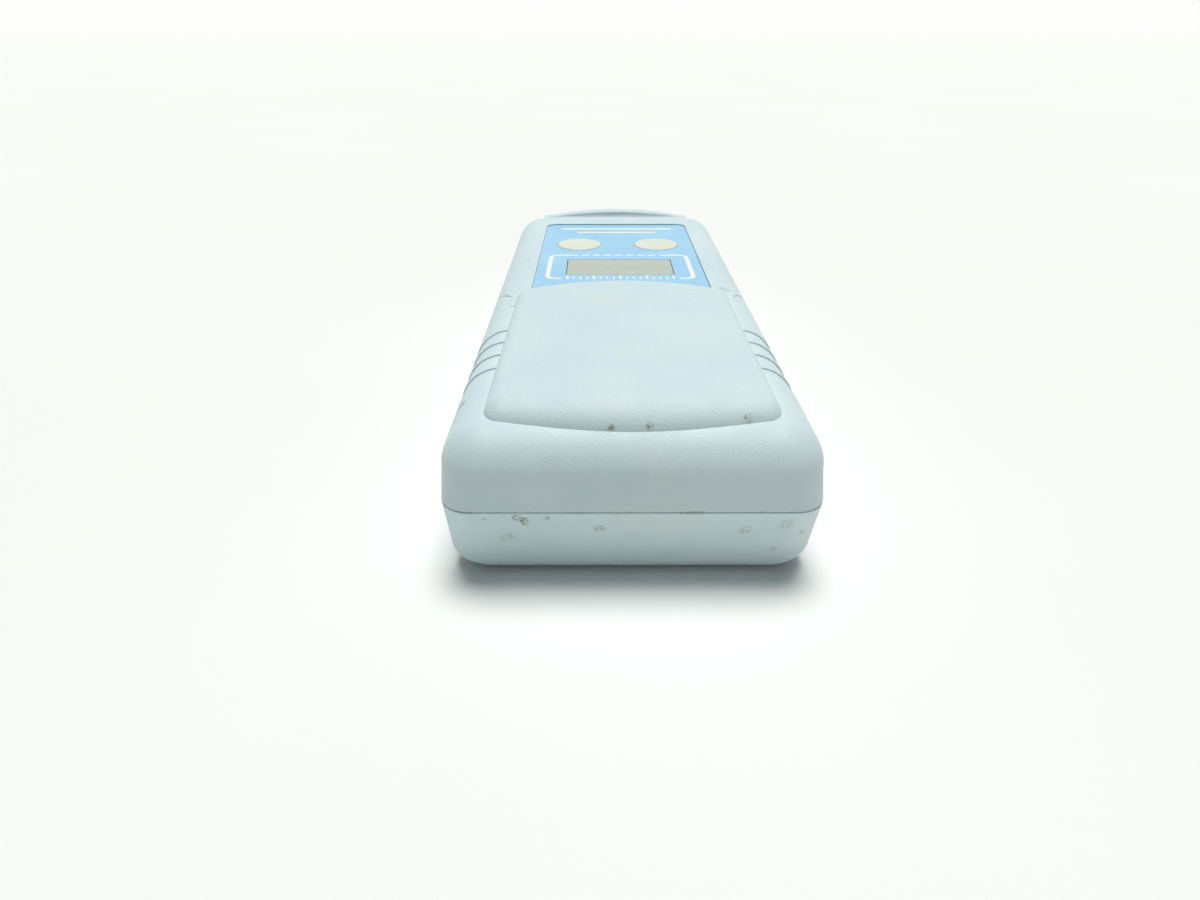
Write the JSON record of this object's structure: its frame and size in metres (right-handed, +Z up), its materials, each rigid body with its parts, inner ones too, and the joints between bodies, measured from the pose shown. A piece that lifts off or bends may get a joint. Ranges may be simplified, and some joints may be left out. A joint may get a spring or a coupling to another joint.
{
  "type": "portable colorimeter",
  "caption": "Pocket-size portable colorimeter with a pull-off cap over its round sample well, a display, round keys and a sliding battery door.",
  "frame": {"origin": "on the resting surface, under the middle of the bounding box", "axes": "+Z up from the flat back to the keypad face, +Y along the length towards the keypad end, -Y towards the cap end"},
  "size_m": [0.061, 0.152, 0.0318],
  "materials": {
    "moulded_shell": "fine spark texture, pale blue grey",
    "label_film": "printed satin film",
    "window_pane": "clear pane over a grey display",
    "key_plastic": "soft satin",
    "black_plastic": "matt black against stray light",
    "seal_rubber": "matt",
    "circuit_board": "green solder mask",
    "chip_plastic": "matt",
    "socket_plastic": "plain",
    "cable_skin": "flexible sleeve",
    "lamp_resin": "clear resin",
    "optic_glass": "polished",
    "filter_glass": "coated",
    "display_glass": "blank grey display",
    "strip_rubber": "soft",
    "bright_metal": "plated",
    "screw_steel": "zinc plated",
    "battery_sleeve": "plain printed sleeve"
  },
  "bodies": {
    "housing": {"front_housing": "moulded_shell", "rear_housing": "moulded_shell", "keypad_overlay": "label_film", "display_window": "window_pane", "cell_holder": "black_plastic", "display_frame": "black_plastic", "cell_seal": "seal_rubber", "lamp_board": "circuit_board", "detector_board": "circuit_board", "main_board": "circuit_board", "microcontroller": "chip_plastic", "amplifier_chip": "chip_plastic", "key_switches": "chip_plastic", "cable_sockets": "socket_plastic", "lamp_lead": "cable_skin", "detector_ribbon": "cable_skin", "lamp": "lamp_resin", "collimating_lens": "optic_glass", "interference_filter": "filter_glass", "display_glass": "display_glass", "display_connectors": "strip_rubber", "photodiode": "bright_metal", "smoothing_capacitor": "bright_metal", "timing_crystal": "bright_metal", "contact_plates": "bright_metal", "battery_springs": "bright_metal", "board_screws": "screw_steel", "holder_screws": "screw_steel", "case_screws": "screw_steel", "batteries": "battery_sleeve"},
    "cap": {"cap_upper_shell": "moulded_shell", "cap_lower_shell": "moulded_shell"},
    "zero_button": {"zero_key": "key_plastic"},
    "read_button": {"read_key": "key_plastic"},
    "door": {"battery_door": "moulded_shell"}
  },
  "joints": [
    {"name": "cap_slide", "type": "slide", "parent": "housing", "child": "cap", "axis": [0, -1, 0], "range_m": [0, 0.08]},
    {"name": "zero_key_press", "type": "slide", "parent": "housing", "child": "zero_button", "axis": [0, 0, -1], "range_m": [0, 0.0005], "stiffness_N_per_m": 2000},
    {"name": "read_key_press", "type": "slide", "parent": "housing", "child": "read_button", "axis": [0, 0, -1], "range_m": [0, 0.0005], "stiffness_N_per_m": 2000},
    {"name": "battery_door_slide", "type": "slide", "parent": "housing", "child": "door", "axis": [0, 1, 0], "range_m": [0, 0.066]}
  ]
}
